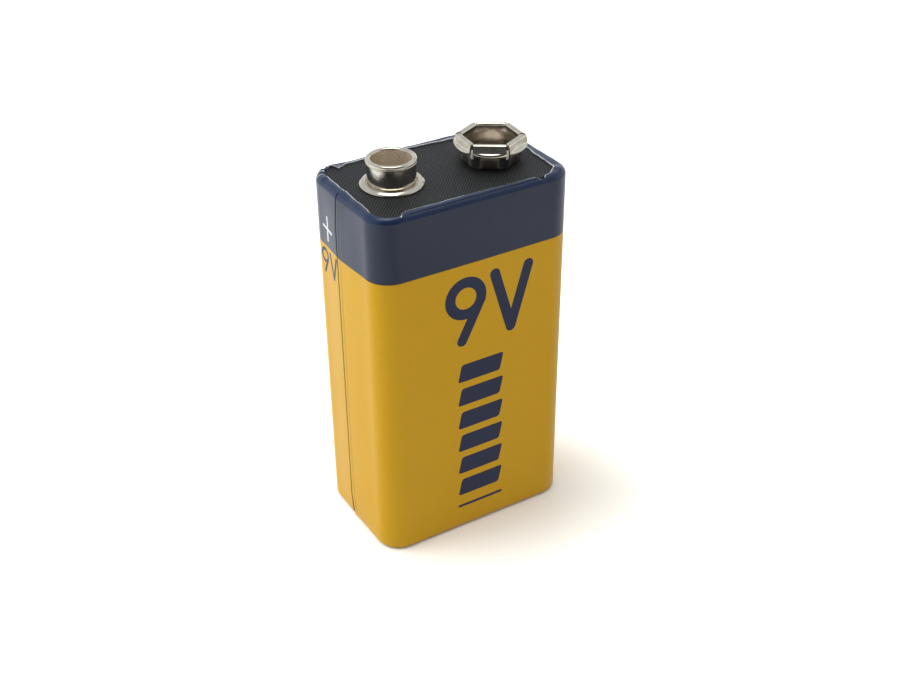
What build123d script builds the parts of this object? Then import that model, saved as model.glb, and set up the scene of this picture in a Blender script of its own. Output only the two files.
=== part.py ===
from build123d import *
import math
import os

# A nine volt block battery. X runs along its length, Y across its width and Z is up.
# The origin is the middle of its underside, and all sizes are millimetres.

# Printed tinplate jacket
case_length = 25.7
case_width = 16.4
case_height = 45.4
corner_radius = 2.95
jacket_sheet = 0.2
top_roll_radius = 0.8
bottom_bend = 0.5
top_lip_reach = 1.25
top_lip_relief = 0.9
bottom_lip_reach = 1.6
seam_offset = 0.7
seam_width = 2.2
seam_step = 0.15

# Board, plate, liner and insulating cards
board_thickness = 1.1
bottom_plate_thickness = 0.8
card_thickness = 0.3
liner_thickness = 0.1

# Snap terminals, which both stand on the board
terminal_spacing = 12.7
terminal_floor = 0.3

# Positive snap, the highest piece
stud_height = 3.25
stud_neck_radius = 2.69
stud_bore_radius = 2.2
stud_bead_radius = 2.86
stud_bead_height = 0.61
stud_lip_height = 0.2
stud_groove_depth = 0.08
stud_rim_round = 0.1
stud_flange_radius = 3.67
stud_flange_height = 0.45
stud_moat_depth = 0.22

# Negative snap
socket_height = 3.1
socket_opening = 5.55
socket_throat = 6.0
socket_crown = 8.5
socket_crown_depth = 1.65
socket_sheet = 0.25
socket_turn = -4
petal_count = 6
petal_gap_top = 0.3
petal_gap_bottom = 0.85

# Rivets
rivet_radius = 1.25
rivet_head_radius = 1.85
rivet_head_flat = 0.9
rivet_head_height = 0.4

# Cells, straps and leads
column_count = 3
row_count = 2
lead_room = 1.45
button_radius = 1.7
button_height = 0.5
strap_width = 2.6
strap_thickness = 0.15
strap_overhang = 1.3
lead_bend_radius = 0.3

# Clearances
side_clearance = 0.05
cell_clearance = 0.02
rivet_clearance = 0.02
slot_clearance = 0.3

# Half sections of the snaps, as shares of the sizes above.
# Flange ring of the positive snap: share of its width, share of its height
flange_shape = ((0.97, 0.0), (1.0, 0.35), (0.85, 0.85), (0.6, 1.0))
# Petals of the negative snap: share of the crown's depth, share of its widest size,
# and the corner radius as a share of the widest size
crown_shape = (
    (0.0, 0.89, 0.34),
    (0.4, 1.0, 0.34),
    (0.82, 0.94, 0.22),
    (1.0, 0.76, 0.12),
)
# Cup inside the petals: share of the height, and the corner radius as a share of its width
cup_foot = (0.0, 0.45)
cup_shoulder = (0.65, 0.25)
cup_mouth = (1.0, 0.12)

# Heights of the stack, from the underside up to the board
bottom_plate_base = jacket_sheet
bottom_card_base = bottom_plate_base + bottom_plate_thickness
bottom_strap_base = bottom_card_base + card_thickness
cell_base = bottom_strap_base + strap_thickness
board_top = case_height - jacket_sheet
board_base = board_top - board_thickness
lead_base = board_base - strap_thickness
rivet_base = lead_base - rivet_head_height
top_card_base = rivet_base - lead_room - card_thickness
cell_top = top_card_base - strap_thickness
cell_height = cell_top - cell_base
liner_height = board_base - bottom_card_base

# Inner room of the jacket, and the room that the liner leaves in it
inner_length = case_length - 2 * jacket_sheet
inner_width = case_width - 2 * jacket_sheet
inner_corner = corner_radius - jacket_sheet
liner_length = inner_length - 2 * side_clearance
liner_width = inner_width - 2 * side_clearance
liner_corner = inner_corner - side_clearance
room_length = liner_length - 2 * liner_thickness
room_width = liner_width - 2 * liner_thickness
room_corner = liner_corner - liner_thickness

# Bevels inside the jacket's top roll and bottom bend, which the board and the plate share
top_bevel = top_roll_radius - jacket_sheet
bottom_bevel = bottom_bend - jacket_sheet / 2

# Grid of the cells, as large as the room lets them be
column_pitch = room_length / column_count
row_pitch = room_width / row_count
cell_radius = min(column_pitch, row_pitch) / 2 - cell_clearance

# Places of the snaps, and the hole that each rivet passes through
positive_place = (-terminal_spacing / 2, 0)
negative_place = (terminal_spacing / 2, 0)
rivet_hole_radius = rivet_radius + rivet_clearance


def rounded_block(length, width, height, corner, base):
    """An upright block with round corners that stands at the height base."""
    return Pos(0, 0, base) * extrude(RectangleRounded(length, width, corner), height)


def top_edges(block):
    """The edges round the upper face of a block."""
    return block.faces().sort_by(Axis.Z)[-1].edges()


def bottom_edges(block):
    """The edges round the lower face of a block."""
    return block.faces().sort_by(Axis.Z)[0].edges()


def turned(outline):
    """A turned piece from its half section, given as radius and height."""
    return revolve(Plane.XZ * make_face(outline), Axis.Z)


def disc(place, radius, thickness, base):
    """A flat round disc, used as an eye or as the cutter of a hole."""
    return Pos(place[0], place[1], base) * extrude(Circle(radius), thickness)


def lip_opening(height, base):
    """The way in through the top lip: four straight edges and a round relief at each corner."""
    length = case_length - 2 * top_lip_reach
    width = case_width - 2 * top_lip_reach
    opening = rounded_block(length, width, height, corner_radius - top_lip_reach, base)
    corners = GridLocations(
        case_length - 2 * corner_radius, case_width - 2 * corner_radius, 2, 2
    )
    relief = disc((0, 0), corner_radius - top_lip_relief, height, base)
    return opening + corners * relief


def seam_lap():
    """The free edge of the sheet, which laps over its other end along one narrow face."""
    face_x = -case_length / 2
    ledge_start = seam_offset - seam_width / 3
    inside_x = face_x + jacket_sheet / 2
    outline = Polyline(
        (face_x - seam_step, seam_offset),
        (face_x - seam_step, ledge_start),
        (face_x, seam_offset - seam_width),
        (inside_x, seam_offset - seam_width),
        (inside_x, seam_offset),
        close=True,
    )
    height = case_height - top_roll_radius - bottom_bend
    return Pos(0, 0, bottom_bend) * extrude(make_face(outline), height)


def jacket():
    """The tinplate wrap with its top roll, its bent-in bottom edge and its lapped seam."""
    skin = rounded_block(case_length, case_width, case_height, corner_radius, 0)
    skin = fillet(top_edges(skin), top_roll_radius)
    skin = chamfer(bottom_edges(skin), bottom_bend)
    hollow = rounded_block(
        inner_length, inner_width, board_top - jacket_sheet, inner_corner, jacket_sheet
    )
    hollow = chamfer(top_edges(hollow), top_bevel)
    hollow = chamfer(bottom_edges(hollow), bottom_bevel)
    cut = 2 * jacket_sheet
    top_opening = lip_opening(cut, board_top - jacket_sheet / 2)
    bottom_opening = rounded_block(
        case_length - 2 * bottom_lip_reach,
        case_width - 2 * bottom_lip_reach,
        cut,
        corner_radius - bottom_lip_reach,
        -jacket_sheet / 2,
    )
    return skin + seam_lap() - hollow - top_opening - bottom_opening


def terminal_board():
    """The fibre board, its upper edge bevelled to sit under the jacket's roll."""
    board = rounded_block(liner_length, liner_width, board_thickness, liner_corner, board_base)
    board = chamfer(top_edges(board), top_bevel)
    for place in (positive_place, negative_place):
        board -= disc(place, rivet_hole_radius, board_thickness, board_base)
    return board


def bottom_plate():
    """The plastic plate, its lower edge bevelled to sit in the jacket's bent-in edge."""
    plate = rounded_block(
        liner_length, liner_width, bottom_plate_thickness, liner_corner, bottom_plate_base
    )
    return chamfer(bottom_edges(plate), bottom_bevel)


def pack_liner():
    """The card wrap between the cells and the jacket, which the board rests on."""
    outside = rounded_block(
        liner_length, liner_width, liner_height, liner_corner, bottom_card_base
    )
    inside = rounded_block(room_length, room_width, liner_height, room_corner, bottom_card_base)
    return outside - inside


def insulating_card(base):
    """A fibre card that fills the liner."""
    return rounded_block(
        room_length - 2 * side_clearance,
        room_width - 2 * side_clearance,
        card_thickness,
        room_corner - side_clearance,
        base,
    )


def flange_point(share):
    """A point of the positive snap's flange ring from its shares of width and height."""
    width = stud_flange_radius - stud_neck_radius
    return (stud_neck_radius + share[0] * width, share[1] * stud_flange_height)


def positive_stud():
    """The small snap: base flange, plain neck, curled bead with its groove, and open bore."""
    moat = stud_flange_height - stud_moat_depth
    lip_base = stud_height - stud_bead_height
    groove = lip_base + stud_lip_height
    groove_radius = stud_bead_radius - stud_groove_depth
    rim_base = groove + stud_rim_round / 2
    rim_shoulder = stud_height - stud_rim_round
    outline = Polyline(
        (stud_bore_radius, rim_shoulder),
        (stud_bore_radius, terminal_floor),
        (rivet_hole_radius, terminal_floor),
        (rivet_hole_radius, 0),
        *[flange_point(share) for share in flange_shape],
        (stud_neck_radius, moat),
        (stud_neck_radius, lip_base - stud_groove_depth),
        (stud_bead_radius, lip_base + stud_groove_depth),
        (stud_bead_radius, groove - stud_groove_depth),
        (groove_radius, groove),
        (stud_bead_radius, rim_base),
        (stud_bead_radius, rim_shoulder),
        (stud_bead_radius - stud_rim_round, stud_height),
        (stud_bore_radius + stud_rim_round, stud_height),
        close=True,
    )
    return Pos(*positive_place, board_top) * turned(outline)


def hexagon(across, corner):
    """A rounded hexagon of the given width across its flats."""
    sides = RegularPolygon(
        across / 2, petal_count, major_radius=False, rotation=180 / petal_count + socket_turn
    )
    return fillet(sides.vertices(), corner)


def lofted(sections):
    """A skin through rounded hexagons, each given as height, width across flats and corner."""
    rings = [Pos(0, 0, height) * hexagon(across, corner) for height, across, corner in sections]
    return loft(rings, ruled=True)


def crown_skin(inset):
    """The swelling outside of the petals, or its inner face when it is set in by the sheet."""
    lower_edge = socket_height - socket_crown_depth
    return lofted(
        [
            (
                lower_edge + depth * (socket_crown_depth - inset),
                width * socket_crown - 2 * inset,
                corner * socket_crown - inset,
            )
            for depth, width, corner in crown_shape
        ]
    )


def socket_cup(inset):
    """The wall of the socket, round at its foot and six sided at its mouth."""
    throat = socket_throat + 2 * socket_sheet
    mouth = socket_opening + 2 * socket_sheet
    widths = {cup_foot: throat, cup_shoulder: throat, cup_mouth: mouth}
    return lofted(
        [
            (level * socket_height, across - 2 * inset, corner * across - inset)
            for (level, corner), across in widths.items()
        ]
    )


def petal_gap():
    """The gap between two petals, narrow at the crest and wider at their lower edge."""
    lower_edge = socket_height - socket_crown_depth - socket_sheet
    sides = Polyline(
        (-petal_gap_top / 2, socket_height),
        (petal_gap_top / 2, socket_height),
        (petal_gap_bottom / 2, lower_edge),
        (-petal_gap_bottom / 2, lower_edge),
        close=True,
    )
    wedge = extrude(Plane.YZ * make_face(sides), socket_crown)
    crest_cut = Pos(0, 0, socket_height) * Box(
        socket_crown,
        petal_gap_top,
        2 * socket_sheet,
        align=(Align.MIN, Align.CENTER, Align.CENTER),
    )
    return wedge - socket_cup(0) + crest_cut


def negative_socket():
    """The large snap: a cup whose mouth is curled outwards and down as separate petals."""
    cup = socket_cup(0)
    crown = crown_skin(0) - (crown_skin(socket_sheet) - cup)
    bore = socket_cup(socket_sheet) - disc((0, 0), socket_throat, terminal_floor, 0)
    body = crown + cup - bore
    for index in range(petal_count):
        turn = (index + 0.5) * 360 / petal_count + socket_turn
        body -= Rot(0, 0, turn) * petal_gap()
    body -= disc((0, 0), rivet_hole_radius, terminal_floor, 0)
    return Pos(*negative_place, board_top) * body


def rivet(place):
    """A rivet: head on the snap's floor, shank, and a tail set against the lead."""
    head_base = board_top + terminal_floor
    outline = Polyline(
        (0, head_base + rivet_head_height),
        (rivet_head_flat, head_base + rivet_head_height),
        (rivet_head_radius, head_base),
        (rivet_radius, head_base),
        (rivet_radius, lead_base),
        (rivet_head_radius, lead_base),
        (rivet_head_flat, rivet_base),
        (0, rivet_base),
        close=True,
    )
    return Pos(*place) * turned(outline)


def cell_places():
    """The middles of the cells in the order of the current, a snake from column to column."""
    places = []
    for column in range(column_count):
        x = (column - (column_count - 1) / 2) * column_pitch
        rows = range(row_count) if column % 2 == 0 else reversed(range(row_count))
        for row in rows:
            places.append((x, (row - (row_count - 1) / 2) * row_pitch))
    return places


def cell():
    """A slim sealed can in its shrunk film, negative end below, positive button above."""
    shoulder = cell_height - button_height
    can = disc((0, 0), cell_radius, shoulder, 0)
    return can + disc((0, 0), button_radius, button_height, shoulder)


def stood(piece, index, place):
    """A cell in the pack: every second one stands on its button."""
    if index % 2 == 1:
        piece = Pos(0, 0, cell_height) * Rot(180, 0, 0) * piece
    return Pos(*place, cell_base) * piece


def heading(start, end):
    """The turn about Z that points from one place to another, in degrees."""
    return math.degrees(math.atan2(end[1] - start[1], end[0] - start[0]))


def strap(first, second, base):
    """A flat nickel strip welded across two neighbouring cells."""
    length = math.dist(first, second) + 2 * strap_overhang
    middle = Pos((first[0] + second[0]) / 2, (first[1] + second[1]) / 2, base)
    strip = Box(
        length, strap_width, strap_thickness, align=(Align.CENTER, Align.CENTER, Align.MIN)
    )
    return middle * Rot(0, 0, heading(first, second)) * strip


def lead(start, snap):
    """A strip welded on a cell, folded up through the card and flat under the board to its rivet."""
    run = math.dist(start, snap)
    rise = strap_overhang + lead_bend_radius
    path = FilletPolyline(
        (-strap_overhang, cell_top),
        (rise, cell_top),
        (rise, lead_base),
        (run, lead_base),
        radius=lead_bend_radius,
    )
    strip = make_brake_formed(strap_thickness, strap_width, path, side=Side.LEFT)
    strip = Pos(0, strap_width / 2, 0) * Rot(90, 0, 0) * strip
    eye = disc((run, 0), rivet_head_radius, strap_thickness, lead_base)
    hole = disc((run, 0), rivet_hole_radius, strap_thickness, lead_base)
    return Pos(*start) * Rot(0, 0, heading(start, snap)) * (strip + eye - hole)


def lead_slot(start, snap):
    """The slot in the top card that a lead comes up through."""
    near_end = -strap_overhang - slot_clearance
    far_end = strap_overhang + lead_bend_radius + strap_thickness + slot_clearance
    slot = Pos((near_end + far_end) / 2, 0, top_card_base) * Box(
        far_end - near_end,
        strap_width + 2 * slot_clearance,
        card_thickness,
        align=(Align.CENTER, Align.CENTER, Align.MIN),
    )
    return Pos(*start) * Rot(0, 0, heading(start, snap)) * slot


def top_insulator(first_cell, last_cell):
    """The card over the cells, with a slot for each lead."""
    card = insulating_card(top_card_base)
    card -= lead_slot(first_cell, positive_place)
    card -= lead_slot(last_cell, negative_place)
    return card


def build():
    """Every piece of the battery by name."""
    places = cell_places()
    pieces = {
        "jacket": jacket(),
        "terminal_board": terminal_board(),
        "bottom_plate": bottom_plate(),
        "pack_liner": pack_liner(),
        "bottom_insulator": insulating_card(bottom_card_base),
        "top_insulator": top_insulator(places[0], places[-1]),
        "positive_stud": positive_stud(),
        "negative_socket": negative_socket(),
        "positive_rivet": rivet(positive_place),
        "negative_rivet": rivet(negative_place),
        "positive_lead": lead(places[0], positive_place),
        "negative_lead": lead(places[-1], negative_place),
    }
    for index, place in enumerate(places):
        pieces[f"cell_{index + 1}"] = stood(cell(), index, place)
    for index in range(len(places) - 1):
        below = index % 2 == 0
        side = "bottom" if below else "top"
        base = bottom_strap_base if below else cell_top
        pieces[f"{side}_strap_{index // 2 + 1}"] = strap(places[index], places[index + 1], base)
    return pieces


os.makedirs("parts", exist_ok=True)
for name, piece in build().items():
    export_step(piece, f"parts/{name}.step")
    print(name, "solids", len(piece.solids()), "volume", round(piece.volume, 2))
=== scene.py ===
# %% [markdown]
# A nine volt block battery on a white table. The solid model gives every size. This script
# dresses it: a printed tinplate jacket whose rim is rolled by a press, a ribbed fibre board, and
# two nickel plated snaps. The first cell loads the solids, so that each new piece is measured
# from them.

# %% Load the solid model
import math

import bmesh
import bpy
from mathutils import Matrix, Vector


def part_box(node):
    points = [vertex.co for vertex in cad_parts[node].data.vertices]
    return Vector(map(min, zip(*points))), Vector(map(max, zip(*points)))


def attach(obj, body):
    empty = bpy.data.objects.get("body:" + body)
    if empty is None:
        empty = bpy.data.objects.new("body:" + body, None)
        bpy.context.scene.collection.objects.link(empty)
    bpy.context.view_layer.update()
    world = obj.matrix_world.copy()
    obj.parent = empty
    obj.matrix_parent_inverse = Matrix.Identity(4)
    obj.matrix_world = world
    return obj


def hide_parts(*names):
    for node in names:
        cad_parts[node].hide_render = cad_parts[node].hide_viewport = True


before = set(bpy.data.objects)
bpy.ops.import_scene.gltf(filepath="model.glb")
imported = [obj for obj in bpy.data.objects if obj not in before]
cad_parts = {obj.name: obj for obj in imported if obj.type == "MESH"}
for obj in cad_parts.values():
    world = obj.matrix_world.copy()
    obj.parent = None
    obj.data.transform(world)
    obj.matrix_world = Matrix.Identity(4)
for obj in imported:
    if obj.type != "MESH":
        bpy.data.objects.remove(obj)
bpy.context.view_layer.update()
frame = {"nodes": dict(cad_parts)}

MM = 0.001
nodes = frame["nodes"]
jacket_low, jacket_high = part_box("jacket")
_, board_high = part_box("terminal_board")
stud_low, stud_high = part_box("positive_stud")
socket_low, socket_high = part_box("negative_socket")
print("solid nodes:", len(nodes))
print("jacket, millimetres:", [round(side / MM, 2) for side in jacket_high - jacket_low])

# %% [markdown]
# Sizes that the solids already have are read from their boxes. The jacket's lap makes its box a
# little longer on one side, so its length is twice its reach on the other side. The socket in the
# picture was pressed on a little off its middle, and its new pieces follow that.

# %% Sizes of the real object, in metres
case_half_length = jacket_high.x
case_half_width = jacket_high.y
case_height = jacket_high.z
corner_radius = 2.95 * MM
sheet = 0.2 * MM
top_roll = 0.8 * MM
bottom_roll = 0.7 * MM
bottom_reach = 1.6 * MM
board_top = board_high.z
stud_centre = (stud_low + stud_high) / 2
socket_centre = (socket_low + socket_high) / 2
socket_offset = Vector((0.18, -0.10, 0)) * MM
socket_axis = socket_centre + socket_offset
print("snaps stand", round((socket_centre.x - stud_centre.x) / MM, 2), "mm apart")
print("socket pressed on", round(socket_offset.length / MM, 2), "mm off its middle")

# %% [markdown]
# Most pieces here are sheets or turned parts, so their meshes are grids: rows of points that
# follow each other round or along the piece. One helper joins the rows with four-sided faces, and
# another turns the result into an object with smooth shading that stays crisp at real edges.

# %% Helpers for meshes
def grid_faces(row_count, row_length, closed_rows, closed_row):
    """Four-sided faces between neighbouring rows of points."""
    faces = []
    for row in range(row_count if closed_rows else row_count - 1):
        after = (row + 1) % row_count
        for place in range(row_length if closed_row else row_length - 1):
            beside = (place + 1) % row_length
            faces.append(
                (
                    row * row_length + place,
                    after * row_length + place,
                    after * row_length + beside,
                    row * row_length + beside,
                )
            )
    return faces


def piece(name, points, faces, sharp_angle=40):
    """A mesh object in the scene, smooth except where its faces meet at a sharp angle."""
    mesh = bpy.data.meshes.new(name)
    mesh.from_pydata([tuple(point) for point in points], [], faces)
    mesh.validate()
    finish_mesh(mesh, sharp_angle)
    thing = bpy.data.objects.new(name, mesh)
    bpy.context.scene.collection.objects.link(thing)
    print(name, "faces:", len(mesh.polygons))
    return thing


def finish_mesh(mesh, sharp_angle=40):
    """Smooth shading with sharp edges kept."""
    mesh.polygons.foreach_set("use_smooth", [True] * len(mesh.polygons))
    mesh.set_sharp_from_angle(angle=math.radians(sharp_angle))
    mesh.update()


print("a grid of 2 by 3 points has", len(grid_faces(2, 3, False, False)), "faces")

# %% [markdown]
# A turned piece such as the stud needs only its half section. Pressed metal has no sharp corners,
# so a section is written as corners with a radius each, and a helper turns every corner into an
# arc.

# %% Helpers for turned pieces
nearly_straight = math.radians(89)


def lathe(name, outline, centre, steps=96):
    """A turned piece: a closed outline of radius and height, spun about an upright axis."""
    points = []
    for step in range(steps):
        turn = 2 * math.pi * step / steps
        for radius, height in outline:
            points.append(
                (
                    centre.x + radius * math.cos(turn),
                    centre.y + radius * math.sin(turn),
                    centre.z + height,
                )
            )
    return piece(name, points, grid_faces(steps, len(outline), True, True), sharp_angle=50)


def smooth_step(share):
    """A soft ramp from 0 to 1."""
    share = min(max(share, 0), 1)
    return share * share * (3 - 2 * share)


def rounded_outline(corners, steps=6):
    """A closed outline of (across, up, radius) corners in millimetres, each rounded by an arc."""
    points = []
    count = len(corners)
    for index, (across, up, radius) in enumerate(corners):
        here = Vector((across, up))
        before = Vector(corners[index - 1][:2]) - here
        after = Vector(corners[(index + 1) % count][:2]) - here
        half = before.angle(after) / 2
        if radius == 0 or half > nearly_straight:
            points.append(here * MM)
            continue
        back = radius / math.tan(half)
        start = here + before.normalized() * back
        end = here + after.normalized() * back
        inwards = (before.normalized() + after.normalized()).normalized()
        middle = here + inwards * radius / math.sin(half)
        first = (start - middle).normalized()
        last = (end - middle).normalized()
        for step in range(steps + 1):
            way = (first * (steps - step) + last * step).normalized()
            points.append((middle + way * radius) * MM)
    return [(point.x, point.y) for point in points]


round_square = rounded_outline([(0, 0, 1), (4, 0, 1), (4, 4, 1), (0, 4, 1)])
print("a square with round corners has", len(round_square), "points")

# %% [markdown]
# Node trees are easier to read as sums than as lists of links. The class below wraps one output
# socket, so that `1 - mask` or `height > line` adds the Math nodes by itself.

# %% Node trees as expressions
class Wire:
    """One output socket of a node tree, which can be added, multiplied and compared."""

    def __init__(self, nodes, socket):
        self.nodes = nodes
        self.socket = socket

    def math(self, operation, *others):
        return self.nodes.add("ShaderNodeMath", {"operation": operation}, [self, *others])

    def __add__(self, other):
        return self.math("ADD", other)

    def __mul__(self, other):
        return self.math("MULTIPLY", other)

    def __sub__(self, other):
        return self.math("SUBTRACT", other)

    def __truediv__(self, other):
        return self.math("DIVIDE", other)

    def __rsub__(self, other):
        return self.nodes.add("ShaderNodeMath", {"operation": "SUBTRACT"}, [other, self])

    def __rtruediv__(self, other):
        return self.nodes.add("ShaderNodeMath", {"operation": "DIVIDE"}, [other, self])

    def __neg__(self):
        return self * -1

    def __abs__(self):
        return self.math("ABSOLUTE")

    def __gt__(self, other):
        return self.math("GREATER_THAN", other)

    def __lt__(self, other):
        return self.math("LESS_THAN", other)

    __radd__ = __add__
    __rmul__ = __mul__

    def least(self, other):
        return self.math("MINIMUM", other)

    def most(self, other):
        return self.math("MAXIMUM", other)

    def clamped(self):
        return self.nodes.add("ShaderNodeClamp", {}, [self])

    def out(self, name):
        """Another output of the same node."""
        return Wire(self.nodes, self.socket.node.outputs[name])


# %% [markdown]
# Every other node comes from one method, `add`. It takes the node's type, then its settings,
# because they can change which sockets it has, and then the values or links of its sockets. The
# short methods after it save writing the same settings again.

# %% One method for every other node
class Nodes:
    """A node tree that is being written."""

    def __init__(self, tree):
        self.tree = tree

    def add(self, kind, settings=None, sockets=None):
        node = self.tree.nodes.new(kind)
        for name, value in (settings or {}).items():
            setattr(node, name, value)
        given = sockets or {}
        for place, value in given.items() if isinstance(given, dict) else enumerate(given):
            if isinstance(value, Wire):
                self.tree.links.new(value.socket, node.inputs[place])
            else:
                node.inputs[place].default_value = value
        shown = [socket for socket in node.outputs if socket.enabled]
        return Wire(self, shown[0]) if shown else node

    def ramp(self, factor, stops):
        """A colour ramp through (place, colour) stops."""
        wire = self.add("ShaderNodeValToRGB", {}, [factor])
        elements = wire.socket.node.color_ramp.elements
        while len(elements) < len(stops):
            elements.new(1)
        for element, (place, colour) in zip(elements, stops):
            element.position = place
            element.color = (*colour, 1)
        return wire

    def blend(self, factor, first, second):
        """A colour between two others, by a factor that varies."""
        colours = [
            value if isinstance(value, Wire) else (*value, 1) for value in (first, second)
        ]
        return self.add(
            "ShaderNodeMix", {"data_type": "RGBA"}, {0: factor, 6: colours[0], 7: colours[1]}
        )

    def noise(self, place, scale, detail=3, roughness=0.5):
        """Cloudy values from 0 to 1 over the surface. The scale is in waves per metre."""
        return self.add(
            "ShaderNodeTexNoise",
            {},
            {"Vector": place, "Scale": scale, "Detail": detail, "Roughness": roughness},
        )

    def bump(self, height, distance, strength=1, normal=None):
        """A Bump node over a height from 0 to 1. The distance is the relief in metres."""
        sockets = {"Strength": strength, "Distance": distance, "Height": height}
        if normal:
            sockets["Normal"] = normal
        return self.add("ShaderNodeBump", {}, sockets)

    def object_place(self):
        """Object coordinates, which are metres on every piece."""
        return self.add("ShaderNodeTexCoord").out("Object")

    def stretched(self, place, scale, turn=(0, 0, 0)):
        """Coordinates that are turned and scaled, for grain with a direction."""
        return self.add("ShaderNodeMapping", {}, {0: place, 2: turn, 3: scale})


# %% [markdown]
# A material here is one Principled shader. What varies over the surface comes from a function of
# its own, as wires. What is the same all over is set on the shader's sockets as plain numbers.

# %% One way to make a material
def material(name, finish, **fixed):
    """A Principled material. `finish` gets the tree and returns the sockets that vary."""
    made = bpy.data.materials.new(name)
    made.use_nodes = True
    tree = made.node_tree
    tree.nodes.clear()
    writer = Nodes(tree)
    sockets = {}
    for label, value in fixed.items():
        sockets[label.replace("_", " ").title().replace("Ior", "IOR")] = value
    sockets.update(finish(writer))
    surface = writer.add("ShaderNodeBsdfPrincipled", {}, sockets)
    writer.add("ShaderNodeOutputMaterial", {}, {"Surface": surface})
    print("material", name, "nodes:", len(tree.nodes))
    return made


# %% [markdown]
# The camera stands where the photographer stood. Its place was found by matching the battery's
# known corners to the picture: the direction, the distance, the point aimed at and the lens all
# follow.

# %% Camera
camera_azimuth = math.radians(-30.91)
camera_elevation = math.radians(32.09)
camera_roll = math.radians(-0.5855)
camera_distance = 157.6 * MM
camera_aim = Vector((0, 0, 24 * MM))
camera_shift_right = 0.8218 * MM
camera_shift_up = -0.8681 * MM
camera_lens = 51.853
camera_sensor = 36

away = Vector(
    (
        math.sin(camera_azimuth) * math.cos(camera_elevation),
        -math.cos(camera_azimuth) * math.cos(camera_elevation),
        math.sin(camera_elevation),
    )
)
level_right = Vector((math.cos(camera_azimuth), math.sin(camera_azimuth), 0))
level_up = away.cross(level_right)
right = level_right * math.cos(camera_roll) + level_up * math.sin(camera_roll)
up = level_up * math.cos(camera_roll) - level_right * math.sin(camera_roll)
eye = camera_aim + right * camera_shift_right + up * camera_shift_up + away * camera_distance

lens = bpy.data.cameras.new("camera")
lens.lens = camera_lens
lens.sensor_width = camera_sensor
lens.clip_start = 5 * MM
lens.clip_end = 10
camera = bpy.data.objects.new("camera", lens)
camera.matrix_world = Matrix.Translation(eye) @ Matrix((right, up, away)).transposed().to_4x4()
bpy.context.scene.collection.objects.link(camera)
bpy.context.scene.camera = camera
print("camera at, millimetres:", [round(value / MM, 1) for value in eye])

# %% [markdown]
# The picture is a plain studio shot: white table, white surroundings and soft light. The
# surroundings are white only where the camera looks at them. What lights the object is dimmer, so
# colours come out as they are written. Reflections see a room of their own, which is pale at the
# horizon, greyer overhead and dark on one side, as behind a photographer. That gives metal its
# contrast.

# %% Surroundings
dark_side = Vector((-0.30, -0.90, 0.25)).normalized()
room_white = (1.0, 1.0, 1.0)
room_light = (0.49, 0.478, 0.452)
room_horizon = (0.86, 0.88, 0.92)
room_ceiling = (0.60, 0.62, 0.65)
room_dark = (0.07, 0.07, 0.075)

# Middle and spread of the soft edges where the ceiling and the dark side begin
ceiling_edge = (0.38, 0.3)
dark_edge = (0.62, 0.4)


def ray_kinds(writer):
    """One for what the camera sees, and one for what a reflection or glass sees."""
    to_camera = writer.add("ShaderNodeLightPath")
    mirrored_ray = to_camera.out("Is Glossy Ray").most(to_camera.out("Is Transmission Ray"))
    return to_camera, mirrored_ray


def towards(writer, side, way, middle, spread):
    """How far a direction or place lies to one side, from 0 to 1."""
    along = writer.add(
        "ShaderNodeVectorMath", {"operation": "DOT_PRODUCT"}, {0: way, 1: tuple(side)}
    ).out("Value")
    return ((along - middle) / spread + 0.5).clamped()


world = bpy.data.worlds.new("studio")
world.use_nodes = True
world.node_tree.nodes.clear()
room = Nodes(world.node_tree)
to_camera, to_mirror = ray_kinds(room)
room_way = room.add("ShaderNodeTexCoord").out("Generated")
overhead = towards(room, (0, 0, 1), room_way, *ceiling_edge)
mirrored = room.blend(overhead, room_horizon, room_ceiling)
mirrored = room.blend(towards(room, dark_side, room_way, *dark_edge), mirrored, room_dark)
room_colour = room.blend(to_camera, room.blend(to_mirror, room_light, mirrored), room_white)
room_surface = room.add("ShaderNodeBackground", {}, {"Color": room_colour, "Strength": 1.0})
room.add("ShaderNodeOutputWorld", {}, {"Surface": room_surface})
bpy.context.scene.world = world
bpy.context.scene.view_settings.view_transform = "Standard"
print("world nodes:", len(world.node_tree.nodes))

# %% [markdown]
# Two soft lights make the shadow and the sheen. The window is large and stands to the left and
# behind. It is kept out of reflections, where it would lay a glare on the varnish that the
# picture doesn't have. The lamp hangs nearly overhead, and reflections do show it, as the white
# crescent on the flange of the stud.

# %% Lights
def soft_light(name, place, aim, size, watts, colour, mirrored):
    """A square area light that faces a point. Reflections show it only where it is mirrored."""
    lamp = bpy.data.lights.new(name, "AREA")
    lamp.size = size
    lamp.energy = watts
    lamp.color = colour
    holder = bpy.data.objects.new(name, lamp)
    holder.location = place
    holder.rotation_euler = (Vector(aim) - Vector(place)).to_track_quat("-Z", "Y").to_euler()
    holder.visible_glossy = mirrored
    bpy.context.scene.collection.objects.link(holder)


soft_light(
    "window",
    place=(-0.40, 0.34, 0.22),
    aim=camera_aim,
    size=0.6,
    watts=2.6,
    colour=(0.97, 1.0, 0.99),
    mirrored=False,
)
soft_light(
    "ceiling_lamp",
    place=(-0.01, 0.02, 0.53),
    aim=camera_aim,
    size=0.32,
    watts=0.85,
    colour=(0.98, 1.0, 1.0),
    mirrored=True,
)
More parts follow.
